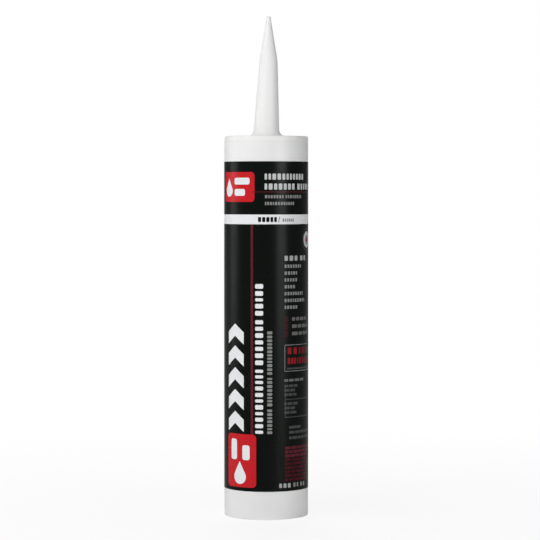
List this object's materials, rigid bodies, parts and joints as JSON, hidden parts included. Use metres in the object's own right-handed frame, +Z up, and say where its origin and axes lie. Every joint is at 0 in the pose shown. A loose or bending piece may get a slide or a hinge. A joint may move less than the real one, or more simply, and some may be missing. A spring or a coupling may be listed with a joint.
{
  "type": "caulk tube",
  "caption": "Filled sealant cartridge for a caulking gun: white plastic barrel with a wrapped dark label, tapered closed nozzle, and a ribbed plunger that slides up the open rear.",
  "frame": {"origin": "centre of the rear rim, on the surface that the tube stands on", "axes": "+Z up the barrel's axis towards the nozzle; -Y through the front of the label; the nozzle leans slightly towards +X"},
  "size_m": [0.0502, 0.0502, 0.2974],
  "materials": {
    "barrel_plastic": "satin white polyethylene",
    "head_plastic": "satin white moulded polyethylene",
    "foil": "bright foil",
    "plunger_plastic": "satin natural polyethylene",
    "paste": "smooth wet paste",
    "label_film": "printed glossy film"
  },
  "bodies": {
    "barrel": {"barrel": "barrel_plastic", "nozzle_head": "head_plastic", "foil_seal": "foil", "paste_fill": "paste", "label": "label_film"},
    "plunger": {"plunger": "plunger_plastic"}
  },
  "joints": [
    {"name": "plunger_slide", "type": "slide", "parent": "barrel", "child": "plunger", "axis": [0, 0, 1], "range_m": [0, 0.1695], "deforming": ["paste_fill"]}
  ]
}
